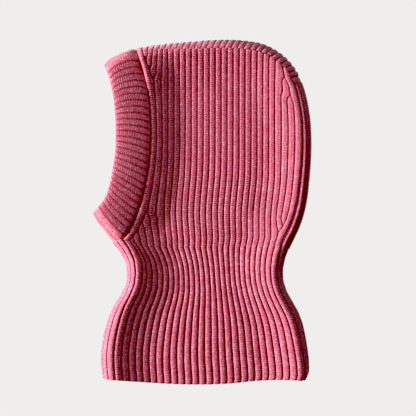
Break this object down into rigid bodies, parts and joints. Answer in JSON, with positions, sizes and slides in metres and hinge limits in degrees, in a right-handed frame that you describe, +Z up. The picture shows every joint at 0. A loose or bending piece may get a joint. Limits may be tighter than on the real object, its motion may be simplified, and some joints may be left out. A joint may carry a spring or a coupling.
{
  "type": "balaclava",
  "caption": "Rib-knit balaclava hood with one large face opening and a flared collar, lying flat on its right side.",
  "frame": {"origin": "middle of the lying hood's footprint, on the surface that it lies on", "axes": "+Z up, away from that surface; +Y from the collar's hem to the crown; -X towards the face opening, +X towards the back of the head"},
  "size_m": [0.2512, 0.4002, 0.0349],
  "materials": {
    "knit": "heathered, slightly fuzzy wool",
    "linking_yarn": "matt wool yarn",
    "label": "matt woven tape"
  },
  "bodies": {
    "root": {"hood_panel_left": "knit", "hood_panel_right": "knit", "crown_strip": "knit", "back_strip": "knit", "collar_panel_left": "knit", "collar_panel_right": "knit", "face_band": "knit", "crown_seam_left": "linking_yarn", "crown_seam_right": "linking_yarn", "strip_seam": "linking_yarn", "face_band_seam": "linking_yarn", "band_end_seam": "linking_yarn", "neck_seam": "linking_yarn", "collar_front_seam": "linking_yarn", "collar_back_seam": "linking_yarn", "care_label": "label"}
  },
  "joints": []
}
